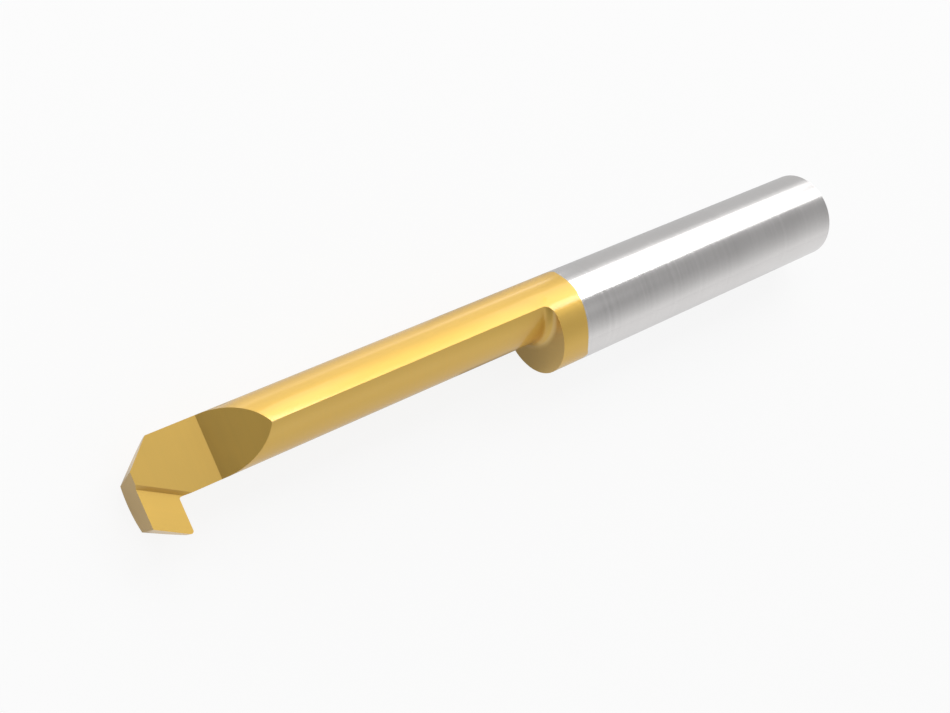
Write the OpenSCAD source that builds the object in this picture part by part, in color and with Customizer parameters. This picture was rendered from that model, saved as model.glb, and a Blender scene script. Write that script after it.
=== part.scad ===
// Internal grooving bar, ground from one round carbide blank.
// The round shank is clamped in a holder. Ahead of it a relieved neck reaches into the bore
// and carries a half-round head with one side tooth. The tool is one solid.
//
// Frame: X runs along the shank axis, with the shank's end face at +X and the head at -X.
// The flat rake face looks up, at +Z, and the tooth points to -Y.
// The origin is on the shank axis, in the plane of the shoulder.

/* [Shank] */
// Diameter of the ground round blank, and of the shank
shank_d = 6; // [5:0.5:8]
// Length of the full round shank, from the shoulder to the end face
shank_len = 25.7; // [18:0.1:40]
// Leg of the 45 degree chamfer round the end face
end_chamfer = 0.25; // [0.1:0.05:0.5]

/* [Neck] */
// Reach, from the shoulder to the front face of the head
reach = 27; // [20:0.5:36]
// How far the back of the neck and head runs in under the shank's radius, at the front face
back_taper = 0.01; // [0.005:0.005:0.05]
// Radius of the ground belly, the second arc of the neck's section
belly_r = 2.9; // [2.6:0.05:3.4]
// Distance of the belly from the shank axis, on the tooth's side
belly_y = 0.8; // [0.5:0.05:1.1]
// Height of the belly's centre above the shank axis
belly_z = 0.13; // [0:0.01:0.4]
// Radius of the fillet between the neck and the shoulder
shoulder_r = 0.6; // [0.3:0.05:0.8]

/* [Rake face] */
// Length of the flat rake face, from the front face to the foot of the run-out
rake_len = 4.45; // [3.5:0.05:6]
// Angle of the run-out slope at the end of the rake face
runout_angle = 45; // [30:1:60]
// Leg of the angled corner at the front of the head, on the back side
corner_leg = 1.5; // [0.8:0.1:2]
// Clearance angle under that corner
corner_clearance = 7; // [4:0.5:12]

/* [Tooth] */
// Width of the tooth along the axis
tooth_w = 1.95; // [1.2:0.05:2.6]
// Distance of the cutting edge from the shank axis at the front face
tip_front_y = 1.78; // [1.5:0.01:1.85]
// Slope of the cutting edge to the axis
tip_angle = 30.5; // [15:0.5:31]
// Clearance angle under the cutting edge
tip_clearance = 1; // [0.5:0.5:6]
// Nose radius between the cutting edge and the back of the tooth
nose_r = 0.15; // [0.05:0.01:0.25]
// Radius of the inside corner between the back of the tooth and the neck
root_r = 0.12; // [0.05:0.01:0.4]
// Rake angle of the tooth, the rise of its rake face towards the cutting edge
tooth_rake = 2; // [0:0.5:4]
// Depth of the chip former, from the main rake face down to the foot of its wall
former_depth = 0.27; // [0.15:0.01:0.5]
// Distance of the chip former's upper edge from the axis at the front face, on the back side
former_y = 0.78; // [0.4:0.02:1.2]
// Slope of the chip former to the axis
former_angle = 30.5; // [20:0.5:38]
// Lean of the chip former's wall from upright
former_lean = 39; // [20:1:60]

/* [Hidden] */
$fn = 96;

blank_r = shank_d / 2;
front_x = -reach;
back_x = front_x + tooth_w;
foot_x = front_x + rake_len;

// Centre of the belly arc, across the axis
belly_cy = belly_r - belly_y;

// The nose arc runs a hair past the back of the tooth, so that the two faces cross cleanly
hair = 0.002;

// Centre of the nose arc, which touches the cutting edge
nose_cx = back_x + hair - nose_r;
nose_cy = nose_r / cos(tip_angle) - (nose_cx - front_x) * tan(tip_angle) - tip_front_y;

// The flank leans in by its clearance, measured here in a plane across the axis
flank_lean = atan(tan(tip_clearance) / cos(tip_angle));

// How far the cutters stand proud of the blank
over = 1;
cut_span = shank_d + 2 * over;

// The clamped shank, from the shoulder to its chamfered end face at +X
module shank() {
    rotate([0, 90, 0])
        rotate_extrude()
            polygon([
                [0, 0],
                [blank_r, 0],
                [blank_r, shank_len - end_chamfer],
                [blank_r - end_chamfer, shank_len],
                [0, shank_len]
            ]);
}

// The round blank ahead of the shoulder, with its slight taper, before the neck and head are ground
module blank() {
    translate([front_x, 0, 0])
        rotate([0, 90, 0])
            cylinder(r1 = blank_r - back_taper, r2 = blank_r, h = reach);
}

// Rounds the corner of the relief's section at distance h along the axis
// side: 1 where the relief lies beyond the corner, -1 where it lies before it
module corner_fill(r, h, side) {
    difference() {
        translate([belly_r - over, side > 0 ? h - over : h - r])
            square([over + r, over + r]);
        translate([belly_r + r, h + side * r])
            circle(r = r);
    }
}

// Half section of the relief round the belly, from the back of the tooth to the shoulder
module relief_section() {
    difference() {
        translate([belly_r, back_x])
            square([shank_d, -back_x]);
        corner_fill(shoulder_r, 0, -1);
        corner_fill(root_r, back_x, 1);
    }
}

// Stock ground off all round the belly cylinder
module neck_relief() {
    translate([0, belly_cy, belly_z])
        rotate([0, 90, 0])
            rotate_extrude()
                relief_section();
}

// Stock above the rake face, with the sloping run-out towards the neck
module rake_cut() {
    top_z = blank_r + over;
    rotate([90, 0, 0])
        linear_extrude(height = cut_span, center = true)
            polygon([
                [front_x - over, 0],
                [foot_x, 0],
                [foot_x + top_z / tan(runout_angle), top_z],
                [front_x - over, top_z]
            ]);
}

// Angled corner at the front of the head, with its clearance
module corner_cut() {
    translate([front_x, blank_r - corner_leg, 0])
        rotate([0, 0, 45])
            rotate([-corner_clearance, 0, 0])
                translate([-cut_span / 2, 0, -cut_span / 2])
                    cube(cut_span);
}

// Lower rake face of the tooth, rising from the foot of a leaning wall
module former_cut() {
    wall_run = former_depth * tan(former_lean);
    rise = (cut_span - wall_run) * tan(tooth_rake);
    translate([front_x, former_y, 0])
        rotate([0, 0, -former_angle])
            rotate([90, 0, 90])
                translate([0, 0, -blank_r])
                    linear_extrude(height = blank_r + rake_len)
                        polygon([
                            [0, 0],
                            [-wall_run, -former_depth],
                            [-cut_span, rise - former_depth],
                            [-cut_span, over],
                            [0, over]
                        ]);
}

// Plan of the stock outside the cutting edge and its rounded nose
module tip_plan() {
    centre = [nose_cx, nose_cy];
    difference() {
        polygon([
            [front_x - over, -tip_front_y + over * tan(tip_angle)],
            centre - nose_r * [sin(tip_angle), cos(tip_angle)],
            centre,
            [back_x + over, nose_cy],
            [back_x + over, -cut_span],
            [front_x - over, -cut_span]
        ]);
        translate(centre)
            circle(r = nose_r);
    }
}

// Flank under the cutting edge, leaning in by its clearance
module tip_cut() {
    translate([0, 0, -former_depth])
        rotate([flank_lean, 0, 0])
            linear_extrude(height = 2 * cut_span, center = true)
                tip_plan();
}

// Neck, head and tooth, ground from the blank with one cutter for each operation
module ground_front() {
    difference() {
        blank();
        neck_relief();
        rake_cut();
        corner_cut();
        former_cut();
        tip_cut();
    }
}

module grooving_bar() {
    color("goldenrod")
        union() {
            shank();
            ground_front();
        }
}

grooving_bar();
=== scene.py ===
"""Looks of an internal grooving bar: gold coating, bare ground carbide, floor, light and camera."""

import math
from typing import NamedTuple

import bpy
from bpy.props import FloatProperty, FloatVectorProperty, PointerProperty
from mathutils import Euler, Matrix, Vector


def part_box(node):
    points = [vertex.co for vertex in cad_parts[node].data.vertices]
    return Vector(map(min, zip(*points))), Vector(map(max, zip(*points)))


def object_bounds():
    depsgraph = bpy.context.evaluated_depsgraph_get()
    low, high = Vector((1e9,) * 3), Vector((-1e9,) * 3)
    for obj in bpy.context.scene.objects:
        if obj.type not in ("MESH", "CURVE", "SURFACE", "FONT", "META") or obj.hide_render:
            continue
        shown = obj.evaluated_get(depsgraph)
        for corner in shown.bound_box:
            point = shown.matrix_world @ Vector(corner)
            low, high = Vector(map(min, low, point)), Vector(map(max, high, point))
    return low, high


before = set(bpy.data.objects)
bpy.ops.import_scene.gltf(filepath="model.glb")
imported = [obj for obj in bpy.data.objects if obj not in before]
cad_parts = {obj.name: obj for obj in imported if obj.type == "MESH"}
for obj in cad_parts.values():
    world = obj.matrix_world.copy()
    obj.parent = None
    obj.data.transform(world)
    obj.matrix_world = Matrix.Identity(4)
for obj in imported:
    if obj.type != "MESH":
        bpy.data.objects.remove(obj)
cad_low, cad_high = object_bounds()

bl_info = {
    "name": "Grooving Bar Looks",
    "version": (1, 0, 0),
    "blender": (4, 5, 0),
    "location": "3D View > Sidebar > Grooving Bar",
    "description": "Finishes, floor, light and camera for a coated carbide grooving bar",
    "category": "Object",
}

MM = 0.001
BAR_NODE = "grooving_bar"
BAR_SLOT = "coated_carbide"

# Half the bar's height is the shank's radius, in millimetres
bar_low, bar_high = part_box(BAR_NODE)
SHANK_RADIUS = (bar_high.z - bar_low.z) / 2 / MM


class Step(NamedTuple):
    """A change from 0 to 1 about an edge, over a fade of some width."""

    edge: float
    fade: float


class Socket:
    """A node socket that does arithmetic: each operator adds the Math node that it needs."""

    def __init__(self, tree, output):
        self.tree = tree
        self.output = output

    def _math(self, operation, *values):
        return self.tree.node("ShaderNodeMath", {"operation": operation}, dict(enumerate(values)))

    def __add__(self, other):
        return self._math("ADD", self, other)

    def __radd__(self, other):
        return self._math("ADD", other, self)

    def __sub__(self, other):
        return self._math("SUBTRACT", self, other)

    def __rsub__(self, other):
        return self._math("SUBTRACT", other, self)

    def __mul__(self, other):
        return self._math("MULTIPLY", self, other)

    def __rmul__(self, other):
        return self._math("MULTIPLY", other, self)

    def __truediv__(self, other):
        return self._math("DIVIDE", self, other)

    def __rtruediv__(self, other):
        return self._math("DIVIDE", other, self)

    def __pow__(self, other):
        return self._math("POWER", self, other)

    def __rpow__(self, other):
        return self._math("POWER", other, self)

    def size(self):
        """The value without its sign."""
        return self._math("ABSOLUTE", self)

    def clamped(self):
        """The value held between 0 and 1."""
        return self._math("MAXIMUM", self._math("MINIMUM", self, 1.0), 0.0)

    def past(self, step):
        """0 before a step and 1 past it."""
        return ((self - (step.edge - step.fade / 2)) / step.fade).clamped()

    def within(self, first, last):
        """1 between two steps and 0 outside them."""
        return self.past(first) * (1 - self.past(last))


class Tree:
    """The node tree of one material or world."""

    def __init__(self, owner):
        owner.use_nodes = True
        self.nodes = owner.node_tree.nodes
        self.links = owner.node_tree.links
        self.nodes.clear()

    def node(self, kind, settings=None, sockets=None, output=0):
        """Adds a node, sets it up, fills or links its sockets and returns one of its outputs."""
        made = self.nodes.new(kind)
        for name, value in (settings or {}).items():
            setattr(made, name, value)
        for name, value in (sockets or {}).items():
            if isinstance(value, Socket):
                self.links.new(value.output, made.inputs[name])
            else:
                made.inputs[name].default_value = value
        return Socket(self, made.outputs[output]) if len(made.outputs) else made

    def parts(self, coordinate):
        """The X, Y and Z sockets of one of the texture coordinates."""
        vector = self.node("ShaderNodeTexCoord", output=coordinate)
        split = self.node("ShaderNodeSeparateXYZ", sockets={"Vector": vector})
        return [Socket(self, output) for output in split.output.node.outputs]

    def position(self):
        """The point in the bar's own frame, in millimetres, as X, Y and Z sockets."""
        return [part * (1 / MM) for part in self.parts("Object")]

    def normal(self):
        """The way the surface faces, in the bar's own frame, as X, Y and Z sockets."""
        return self.parts("Normal")

    def direction(self):
        """In a world, the way that is looked, as X, Y and Z sockets."""
        return self.parts("Generated")


# Where the Mix node keeps its two colours and the mixed one
COLOUR_A, COLOUR_B, MIXED_COLOUR = 6, 7, 2


def colour(rgb):
    """A colour with full alpha, as a shader socket takes it."""
    return (*rgb, 1.0)


def tinted(tree, factor, rgb, other):
    """One colour that turns into another as the factor goes from 0 to 1."""
    mixed = {"Factor": factor, COLOUR_A: rgb, COLOUR_B: other}
    for key in (COLOUR_A, COLOUR_B):
        if not isinstance(mixed[key], Socket):
            mixed[key] = colour(mixed[key])
    return tree.node("ShaderNodeMix", {"data_type": "RGBA"}, mixed, output=MIXED_COLOUR)


def scaled(rgb, factor):
    """A colour made lighter or darker by a plain factor."""
    return tuple(min(channel * factor, 1.0) for channel in rgb)


class CoatingSettings(bpy.types.PropertyGroup):
    """The gold coating on the neck and head."""

    gold: FloatVectorProperty(
        name="Gold",
        description="Colour of the coating",
        subtype="COLOR",
        size=3,
        min=0.0,
        max=1.0,
        default=(0.765, 0.498, 0.110),
    )
    edge: FloatProperty(
        name="Coating Edge",
        description="How far the coating reaches past the shoulder, along the top of the shank",
        unit="LENGTH",
        default=2.13 * MM,
    )
    wander: FloatProperty(
        name="Edge Wander",
        description="How far the coating's edge strays from a square line round the shank",
        unit="LENGTH",
        default=0.34 * MM,
    )
    fade: FloatProperty(
        name="Edge Fade",
        description="Width over which the coating thins out to nothing",
        unit="LENGTH",
        default=0.06 * MM,
    )
    end_gold: FloatVectorProperty(
        name="End Gold",
        description="Colour of the coating on faces that lie across the axis",
        subtype="COLOR",
        size=3,
        min=0.0,
        max=1.0,
        default=(0.76, 0.53, 0.185),
    )
    rim: FloatVectorProperty(
        name="Rim",
        description="Colour of the coating's metal where it is seen edge on",
        subtype="COLOR",
        size=3,
        min=0.0,
        max=1.0,
        default=(1.0, 0.88, 0.66),
    )
    roughness: FloatProperty(
        name="Roughness",
        description="Roughness of the coated surface",
        subtype="FACTOR",
        min=0.0,
        max=1.0,
        default=0.46,
    )
    skin: FloatProperty(
        name="Skin Roughness",
        description="Roughness of the clear outer skin of the coating",
        subtype="FACTOR",
        min=0.0,
        max=1.0,
        default=0.12,
    )


class CarbideSettings(bpy.types.PropertyGroup):
    """The bare ground carbide of the shank."""

    grey: FloatVectorProperty(
        name="Grey",
        description="Colour of the bare ground carbide",
        subtype="COLOR",
        size=3,
        min=0.0,
        max=1.0,
        default=(0.80, 0.782, 0.774),
    )
    roughness: FloatProperty(
        name="Roughness",
        description="Roughness of the ground shank",
        subtype="FACTOR",
        min=0.0,
        max=1.0,
        default=0.17,
    )


class StageSettings(bpy.types.PropertyGroup):
    """Floor and light."""

    floor_size: FloatProperty(
        name="Floor Size",
        description="Side of the square floor",
        unit="LENGTH",
        default=3.0,
    )
    horizon_level: FloatProperty(
        name="Horizon Level",
        description="Strength of the even light from low down",
        min=0.0,
        default=0.79,
    )
    overhead_level: FloatProperty(
        name="Overhead Level",
        description="Strength of the even light from above",
        min=0.0,
        default=0.365,
    )
    front_level: FloatProperty(
        name="Front Level",
        description="How much of the even light reaches the bar from in front of its head",
        min=0.0,
        max=1.0,
        default=0.42,
    )


# From which slope on a face counts as lying across the bar's axis, or as level
END_ON = Step(0.85, fade=0.10)
LEVEL = Step(0.99, fade=0.01)

# The tooth's own rake face is the level one below and ahead of these, in millimetres
TOOTH_FACE_TOP = Step(-0.08, fade=0.04)
TOOTH_FACE_BACK = Step(-24.0, fade=0.4)

# Slope of the tooth's cutting edge to the bar's axis
EDGE_SLOPE = math.radians(30.5)

# The way across the grinding lines of the front face and the shoulder, by its Y and Z
END_FACE_LAY = (0.94, 0.34)

# Noise cells to the millimetre and their detail, for clouds, for fine grain and for lines
CLOUD_NOISE = (0.35, 2.0)
GRAIN_NOISE = (9.0, 3.0)
LINE_NOISE = {"Scale": 3.5, "Detail": 5.0, "Roughness": 0.75}

# Noise lies about this value, and most of it within this step
NOISE_MIDDLE = 0.5
NOISE_SPREAD = Step(NOISE_MIDDLE, fade=0.5)

# How steeply the coating's edge runs back down the flanks, and how ragged it is in millimetres
FLANK_POWER = 5
FLANK_RISE = 1.9
EDGE_RAG = 0.05

# Painted light: how much lighter the coating is on the tooth's own rake face
TOOTH_PAINTED_LIGHT = 1.21

# How much of the clear skin lies on the gold, and how it bends light
SKIN_WEIGHT = 0.75
SKIN_IOR = 1.5


class Grind(NamedTuple):
    """How clearly the grinding shows in a finish; its heights are in millimetres."""

    mottle: float
    end_mottle: float
    line_roughness: float
    cloud_roughness: float
    line_height: float
    speck_height: float


GOLD_GRIND = Grind(
    mottle=0.035,
    end_mottle=0.05,
    line_roughness=0.10,
    cloud_roughness=0.10,
    line_height=0.0015,
    speck_height=0.0003,
)
CARBIDE_GRIND = Grind(
    mottle=0.05,
    end_mottle=0.14,
    line_roughness=0.12,
    cloud_roughness=0.06,
    line_height=0.0014,
    speck_height=0.0002,
)


class Surface:
    """What both finishes share: where a point is, which face it is on and how it was ground."""

    def __init__(self, tree):
        self.tree = tree
        self.x, self.y, self.z = tree.position()
        facing_x, _, facing_z = tree.normal()
        self.end_on = facing_x.size().past(END_ON)
        below = 1 - self.z.past(TOOTH_FACE_TOP)
        self.tooth = facing_z.past(LEVEL) * below * (1 - self.x.past(TOOTH_FACE_BACK))
        self.lay = self.grinding_lines()
        self.cloud = self.noise(*CLOUD_NOISE)
        self.grain = self.noise(*GRAIN_NOISE)

    def noise(self, scale, detail):
        """Soft noise about its middle value, with so many cells to the millimetre."""
        tree = self.tree
        place = tree.node("ShaderNodeTexCoord", output="Object")
        return tree.node(
            "ShaderNodeTexNoise",
            sockets={"Vector": place, "Scale": scale / MM, "Detail": detail},
            output="Fac",
        )

    def grinding_lines(self):
        """Fine lines left by the wheel, all the way round the bar and across its flats.

        They run up the front face and the shoulder, and along the cutting edge on the tooth.
        """
        up_face = self.y * END_FACE_LAY[0] + self.z * END_FACE_LAY[1]
        over_edge = self.x * math.sin(EDGE_SLOPE) + self.y * math.cos(EDGE_SLOPE)
        across = self.x + self.end_on * (up_face - self.x)
        across = across + self.tooth * (over_edge - across)
        return self.tree.node(
            "ShaderNodeTexNoise",
            {"noise_dimensions": "1D"},
            {"W": across, **LINE_NOISE},
            output="Fac",
        )

    def mottled(self, rgb, spread):
        """A colour made a little lighter and darker by cloudiness and grinding lines."""
        mottle = (self.cloud.past(NOISE_SPREAD) + self.lay.past(NOISE_SPREAD)) / 2
        return tinted(self.tree, mottle, scaled(rgb, 1 - spread), scaled(rgb, 1 + spread))

    def varied(self, roughness, grind):
        """A roughness that follows the grinding lines and the cloudiness."""
        lines = (self.lay - NOISE_MIDDLE) * grind.line_roughness
        clouds = (self.cloud - NOISE_MIDDLE) * grind.cloud_roughness
        return roughness + lines + clouds

    def bump(self, grind):
        """A normal with the heights of the grinding lines and of fine specks."""
        height = self.lay * grind.line_height + self.grain * grind.speck_height
        return self.tree.node(
            "ShaderNodeBump",
            sockets={"Height": height, "Distance": 1 * MM},
            output="Normal",
        )


def gold_finish(surface, coating):
    """The gold coating: metallic, a little cloudy, under a clear and smoother skin."""
    tree = surface.tree
    gold = surface.mottled(coating.gold, GOLD_GRIND.mottle)
    # The tooth's rake face gets a lighter gold, which is painted light
    lit_tooth_gold = surface.mottled(scaled(coating.gold, TOOTH_PAINTED_LIGHT), GOLD_GRIND.mottle)
    end_gold = surface.mottled(coating.end_gold, GOLD_GRIND.end_mottle)
    gold = tinted(tree, surface.tooth, gold, lit_tooth_gold)
    gold = tinted(tree, surface.end_on, gold, end_gold)
    return tree.node(
        "ShaderNodeBsdfPrincipled",
        sockets={
            "Base Color": gold,
            "Metallic": 1.0,
            "Roughness": surface.varied(coating.roughness, GOLD_GRIND),
            "Specular Tint": colour(coating.rim),
            "Coat Weight": SKIN_WEIGHT,
            "Coat IOR": SKIN_IOR,
            "Coat Roughness": coating.skin,
            "Normal": surface.bump(GOLD_GRIND),
        },
    )


def carbide_finish(surface, carbide):
    """The bare ground carbide, with its grinding lines and a faint cloudiness."""
    tree = surface.tree
    grey = surface.mottled(carbide.grey, CARBIDE_GRIND.mottle)
    end_grey = surface.mottled(carbide.grey, CARBIDE_GRIND.end_mottle)
    return tree.node(
        "ShaderNodeBsdfPrincipled",
        sockets={
            "Base Color": tinted(tree, surface.end_on, grey, end_grey),
            "Metallic": 1.0,
            "Roughness": surface.varied(carbide.roughness, CARBIDE_GRIND),
            "Normal": surface.bump(CARBIDE_GRIND),
        },
    )


def bare_mask(surface, coating):
    """0 where the coating lies and 1 behind its edge, which isn't quite square."""
    # The edge leans across the top, and runs back down both flanks
    across = surface.y / SHANK_RADIUS
    lean = across * (1 - across * across)
    flanks = ((across * across) ** FLANK_POWER * FLANK_RISE).clamped()
    rag = (surface.grain - NOISE_MIDDLE) * EDGE_RAG
    place = surface.x - (lean + flanks) * (coating.wander / MM) + rag
    return place.past(Step(coating.edge / MM, fade=coating.fade / MM))


def finish_material(coating, carbide):
    """Gold coating ahead of its edge on the shank, and bare ground carbide behind it."""
    material = bpy.data.materials.new(BAR_SLOT)
    tree = Tree(material)
    surface = Surface(tree)
    shader = tree.node(
        "ShaderNodeMixShader",
        sockets={
            0: bare_mask(surface, coating),
            1: gold_finish(surface, coating),
            2: carbide_finish(surface, carbide),
        },
    )
    tree.node("ShaderNodeOutputMaterial", sockets={"Surface": shader})
    return material


class OBJECT_OT_finish_bar(bpy.types.Operator):
    """Give the bar its gold coating and its bare ground shank"""

    bl_idname = "object.finish_bar"
    bl_label = "Finish Bar"

    def execute(self, context):
        scene = context.scene
        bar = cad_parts[BAR_NODE]
        material = finish_material(scene.bar_coating, scene.bar_carbide)
        for slot in bar.material_slots:
            slot.material = material
        return {"FINISHED"}


# Where the floor changes in reflections, along the bar in millimetres
HEAD_BACK = Step(-26.5, fade=1.0)
NECK_BACK = Step(-4.5, fade=1.0)
SHOULDER_PATCH = (Step(-6.0, fade=3.0), Step(1.0, fade=2.0))
CARD_BACK = Step(1.3, fade=1.2)
CARD_SLANT = 0.66
STRIP_RISE = Step(0.0, fade=24.0)

# The same across the bar, from the tooth's side to the other
SHANK_DARK_START = -3.0
NECK_DARK_START = -0.8
DARK_FADE = Step(0.0, fade=0.5)
LIGHT_LINE = (Step(1.5, fade=0.5), Step(3.0, fade=0.4))
SHOULDER_PATCH_SIDE = Step(1.5, fade=1.0)
BEYOND_START = Step(3.6, fade=0.8)
CARD_START = Step(9.0, fade=5.0)
STRIP = (Step(12.5, fade=3.0), Step(19.0, fade=5.0))

# What the floor and its painted shadow take from white there, and how that differs in places
FLOOR_SHADE = 0.17
DARK_SHADE = 0.43
SHOULDER_MORE = 0.05
BY_NECK_LESS = 0.17
BY_HEAD_LESS = 0.05

# What its painted light parts give back, and how much more that is in places
BEYOND_LIGHT = 0.09
BEYOND_MORE = 0.08
CARD_LIGHT = 0.45
STRIP_LIGHT = 0.82
STRIP_MORE = 1.40

# How much of its look is a plain light of its own: to the camera, near and far, and to mirrors
NEAR_GLOW = 0.87
FAR_GLOW = 1.00
MIRROR_GLOW = 0.70
FAR_ROUND = Step(110.0, fade=120.0)
FLOOR_WHITE = (0.9, 0.9, 0.9)


def mirrored_shade(x, y):
    """How far the floor falls short of white in reflections, at a place in millimetres.

    Its darker part is painted shadow, from under the bar out to the side away from the tooth, and
    its lighter parts are painted light cards; the camera sees none of them.
    """
    by_head = 1 - x.past(HEAD_BACK)
    by_neck = x.within(HEAD_BACK, NECK_BACK)
    by_coating = 1 - (x - y * CARD_SLANT).past(CARD_BACK)
    by_shoulder = x.within(*SHOULDER_PATCH) * (1 - y.past(SHOULDER_PATCH_SIDE))

    # The painted shadow starts later beside the neck, and has a painted light line in it there
    start = SHANK_DARK_START + by_neck * (NECK_DARK_START - SHANK_DARK_START)
    painted_shadow = (y - start).past(DARK_FADE) - by_neck * y.within(*LIGHT_LINE)

    # The painted shadow is deeper where the shoulder mirrors the floor under the neck, and paler
    # along the neck and where the front face mirrors the floor under the head
    depth = DARK_SHADE + by_shoulder * SHOULDER_MORE
    depth = depth - by_neck * BY_NECK_LESS - by_head * BY_HEAD_LESS

    # A painted light card lies behind the coated part, with a painted light strip that gets
    # brighter towards the shank
    strip = y.within(*STRIP) * (STRIP_LIGHT + x.past(STRIP_RISE) * STRIP_MORE)
    card = by_coating * (y.past(CARD_START) * CARD_LIGHT + strip)
    beyond = y.past(BEYOND_START) * (BEYOND_LIGHT + by_coating * BEYOND_MORE)
    return FLOOR_SHADE + painted_shadow * depth - beyond - card


def floor_material():
    """White floor, which keeps the bar's shadow; in reflections it also shows painted shadow and
    painted light cards.
    """
    material = bpy.data.materials.new("pale_floor")
    tree = Tree(material)
    x, y, _ = tree.position()
    camera = tree.node("ShaderNodeLightPath", output="Is Camera Ray")
    gloss = tree.node("ShaderNodeLightPath", output="Is Glossy Ray")
    far = ((x * x + y * y) ** 0.5).past(FAR_ROUND)
    own_light = camera * (NEAR_GLOW + far * (FAR_GLOW - NEAR_GLOW)) + gloss * MIRROR_GLOW
    matt = tree.node("ShaderNodeBsdfDiffuse", sockets={"Color": colour(FLOOR_WHITE)})
    glow = tree.node("ShaderNodeEmission", sockets={"Color": 1 - gloss * mirrored_shade(x, y)})
    shader = tree.node("ShaderNodeMixShader", sockets={0: own_light.clamped(), 1: matt, 2: glow})
    tree.node("ShaderNodeOutputMaterial", sockets={"Surface": shader})
    return material


# Where the even light changes, by the X, Y and Z of the way that is looked
LOW_END = Step(0.39, fade=0.60)
FRONT_START = Step(0.4, fade=0.8)
TOP_WAY = (0.2, -0.15, 0.97)
TOP_START = Step(0.93, fade=0.08)
SIDE_X = (Step(0.15, fade=0.20), Step(0.525, fade=0.06))
SIDE_Y_END = Step(0.05, fade=0.30)
SIDE_Z = (Step(0.15, fade=0.20), Step(0.82, fade=0.10))
GLOW_X = Step(0.57, fade=0.06)
GLOW_Y = Step(0.12, fade=0.24)
GLOW_Z = Step(0.50, fade=0.10)

# How much lighter it is in its three patches
TOP_LIGHT = 0.40
SIDE_LIGHT = 0.40
GLOW_LIGHT = 0.08
WHITE = (1, 1, 1)


def light_level(way, stage):
    """Strength of the even light from one way, given as X, Y and Z sockets."""
    x, y, z = way
    low = 1 - z.past(LOW_END)
    level = stage.overhead_level + low * (stage.horizon_level - stage.overhead_level)

    # Lighter patches: over the bar, on the tooth's side, and between that and the long box
    top = (x * TOP_WAY[0] + y * TOP_WAY[1] + z * TOP_WAY[2]).past(TOP_START)
    side = x.within(*SIDE_X) * (1 - y.past(SIDE_Y_END)) * z.within(*SIDE_Z)
    glow = x.past(GLOW_X) * y.past(GLOW_Y) * z.past(GLOW_Z)
    level = level + top * TOP_LIGHT + side * SIDE_LIGHT + glow * GLOW_LIGHT

    front = (0 - x).past(FRONT_START)
    return level * (1 - front * (1 - stage.front_level))


class SoftBox(NamedTuple):
    """A soft box that faces the bar; its lengths are in millimetres.

    It stands off in one direction, its width runs along another, and it is slid that way.
    Its level is what a mirror would show.
    """

    name: str
    towards: tuple
    along: tuple
    distance: float
    width: float
    height: float
    level: float
    slide: float = 0.0


ALONG_BAR = (1, 0, 0)
ROUND_BAR = (-0.16, 0.304, -0.154)
SOFT_BOXES = (
    # The first three are mirrored as one white band along the bar
    SoftBox(
        "long box",
        towards=(0.0, 0.598, 0.801),
        along=ALONG_BAR,
        distance=300,
        width=1000,
        height=164,
        level=1.26,
    ),
    SoftBox(
        "shank box",
        towards=(0.0, 0.909, 0.417),
        along=ALONG_BAR,
        distance=300,
        width=165,
        height=142,
        level=1.26,
        slide=265,
    ),
    SoftBox(
        "neck box",
        towards=(0.0, 0.909, 0.417),
        along=ALONG_BAR,
        distance=300,
        width=200,
        height=142,
        level=1.45,
        slide=30,
    ),
    # Two small bright ones make the highlights of the ring and of the neck
    SoftBox(
        "ring glint",
        towards=(0.58, 0.39, 0.715),
        along=ROUND_BAR,
        distance=280,
        width=60,
        height=38,
        level=5.9,
    ),
    SoftBox(
        "neck glint",
        towards=(0.30, 0.70, 0.65),
        along=ROUND_BAR,
        distance=280,
        width=44,
        height=44,
        level=5.6,
    ),
)


def add_box(box):
    """Puts up one of the soft boxes."""
    data = bpy.data.lights.new(box.name, "AREA")
    data.shape = "RECTANGLE"
    data.size = box.width * MM
    data.size_y = box.height * MM
    data.energy = box.level * math.pi * data.size * data.size_y
    light = bpy.data.objects.new(box.name, data)
    bpy.context.scene.collection.objects.link(light)
    away = Vector(box.towards).normalized()
    rise = away.cross(Vector(box.along)).normalized()
    run = rise.cross(away)
    light.location = (away * box.distance + run * box.slide) * MM
    light.rotation_euler = Matrix((run, rise, away)).transposed().to_euler()


# The camera, fitted to the photograph's outlines: place in millimetres, turn in degrees
CAMERA_PLACE = (-45.906, 0.591, 67.713)
CAMERA_TURN = (12.945, -28.758, -26.614)
CAMERA_LENS = 48.93
SENSOR_WIDTH = 36.0
CLIP_NEAR = 0.005
CLIP_FAR = 20.0

# The photograph's width, and how far the camera's view is shifted in it, in pixels
IMAGE_WIDTH = 950
VIEW_SHIFT = (-0.5, 0.5)


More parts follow.
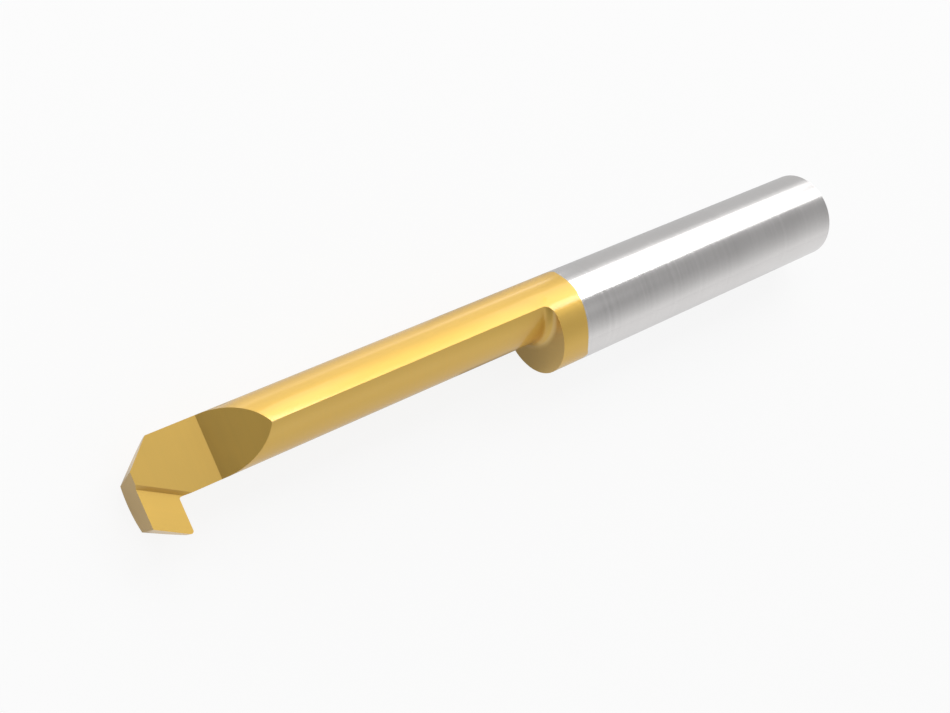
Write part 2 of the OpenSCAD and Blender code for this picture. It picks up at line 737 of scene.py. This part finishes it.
class OBJECT_OT_set_stage(bpy.types.Operator):
    """Make the pale floor, the soft lights and the camera"""

    bl_idname = "object.set_bar_stage"
    bl_label = "Set Stage"

    def execute(self, context):
        stage = context.scene.bar_stage
        self.make_floor(context, stage)
        self.make_world(context, stage)
        for box in SOFT_BOXES:
            add_box(box)
        self.make_camera(context)
        context.scene.view_settings.view_transform = "Standard"
        return {"FINISHED"}

    def make_floor(self, context, stage):
        half = stage.floor_size / 2
        mesh = bpy.data.meshes.new("floor")
        corners = [(-half, -half), (half, -half), (half, half), (-half, half)]
        mesh.from_pydata([(x, y, cad_low.z) for x, y in corners], [], [(0, 1, 2, 3)])
        floor = bpy.data.objects.new("floor", mesh)
        context.scene.collection.objects.link(floor)
        mesh.materials.append(floor_material())

    def make_world(self, context, stage):
        world = bpy.data.worlds.new("even_light")
        context.scene.world = world
        tree = Tree(world)
        level = light_level(tree.direction(), stage)
        camera = tree.node("ShaderNodeLightPath", output="Is Camera Ray")
        level = level + camera * (1 - level)
        glow = tree.node(
            "ShaderNodeBackground",
            sockets={"Color": colour(WHITE), "Strength": level},
        )
        tree.node("ShaderNodeOutputWorld", sockets={"Surface": glow})

    def make_camera(self, context):
        data = bpy.data.cameras.new("camera")
        data.sensor_fit = "HORIZONTAL"
        data.sensor_width = SENSOR_WIDTH
        data.lens = CAMERA_LENS
        data.clip_start = CLIP_NEAR
        data.clip_end = CLIP_FAR
        data.shift_x, data.shift_y = (pixels / IMAGE_WIDTH for pixels in VIEW_SHIFT)
        camera = bpy.data.objects.new("camera", data)
        context.scene.collection.objects.link(camera)
        camera.location = Vector(CAMERA_PLACE) * MM
        camera.rotation_euler = Euler([math.radians(angle) for angle in CAMERA_TURN])
        context.scene.camera = camera


class VIEW3D_PT_grooving_bar(bpy.types.Panel):
    """Sidebar panel with the bar's settings and its operators"""

    bl_label = "Grooving Bar"
    bl_space_type = "VIEW_3D"
    bl_region_type = "UI"
    bl_category = "Grooving Bar"

    def draw(self, context):
        column = self.layout.column()
        scene = context.scene
        for settings in (scene.bar_coating, scene.bar_carbide, scene.bar_stage):
            for name in settings.__annotations__:
                column.prop(settings, name)
        for operator in (OBJECT_OT_finish_bar, OBJECT_OT_set_stage):
            column.operator(operator.bl_idname)


CLASSES = (
    CoatingSettings,
    CarbideSettings,
    StageSettings,
    OBJECT_OT_finish_bar,
    OBJECT_OT_set_stage,
    VIEW3D_PT_grooving_bar,
)


def register():
    for item in CLASSES:
        bpy.utils.register_class(item)
    bpy.types.Scene.bar_coating = PointerProperty(type=CoatingSettings)
    bpy.types.Scene.bar_carbide = PointerProperty(type=CarbideSettings)
    bpy.types.Scene.bar_stage = PointerProperty(type=StageSettings)


def unregister():
    del bpy.types.Scene.bar_stage
    del bpy.types.Scene.bar_carbide
    del bpy.types.Scene.bar_coating
    for item in reversed(CLASSES):
        bpy.utils.unregister_class(item)


def main():
    register()
    bpy.ops.object.finish_bar()
    bpy.ops.object.set_bar_stage()


if __name__ == "__main__":
    main()
